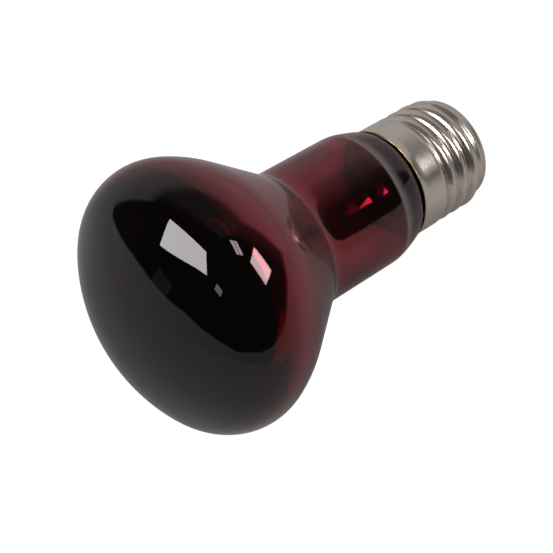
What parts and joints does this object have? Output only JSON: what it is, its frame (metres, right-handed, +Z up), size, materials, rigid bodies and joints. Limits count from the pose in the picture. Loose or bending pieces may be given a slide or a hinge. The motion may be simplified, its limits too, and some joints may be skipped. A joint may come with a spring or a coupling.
{
  "type": "infrared heat lamp bulb",
  "caption": "Reflector heat lamp of dark ruby glass with a domed face, a mirrored cone and neck, and a screw cap.",
  "frame": {"origin": "on the surface that the lamp lies on, below the centre of its bounding box", "axes": "+Z up; the lamp's axis lies in the XZ plane with its face towards -X, and its cap 13.9 degrees lower"},
  "size_m": [0.1026, 0.063, 0.0619],
  "materials": {
    "ruby_glass": "dark ruby glass, gloss, with an aluminium mirror film inside the back and neck",
    "nickel_plate": "brass sheet with a satin nickel plate",
    "cement": "baked basing cement, matt",
    "black_glass": "opaque black glass, gloss",
    "contact_brass": "pressed brass",
    "solder": "dull solder",
    "clear_glass": "clear glass",
    "nickel_wire": "drawn nickel wire",
    "copper_clad_wire": "copper-clad wire, dark red where the glass wets it",
    "copper_wire": "bare copper wire",
    "tungsten": "coiled tungsten wire",
    "molybdenum": "drawn molybdenum wire"
  },
  "bodies": {
    "root": {"glass_envelope": "ruby_glass", "cap_shell": "nickel_plate", "basing_cement": "cement", "cap_insulator": "black_glass", "centre_contact": "contact_brass", "centre_solder": "solder", "side_solder": "solder", "stem_tube": "clear_glass", "exhaust_tube": "clear_glass", "support_rod": "clear_glass", "inner_lead_a": "nickel_wire", "inner_lead_b": "nickel_wire", "seal_wire_a": "copper_clad_wire", "seal_wire_b": "copper_clad_wire", "outer_lead_centre": "copper_wire", "outer_lead_side": "copper_wire", "fuse_wire": "nickel_wire", "filament": "tungsten", "filament_support_1": "molybdenum", "filament_support_2": "molybdenum", "filament_support_3": "molybdenum"}
  },
  "joints": []
}
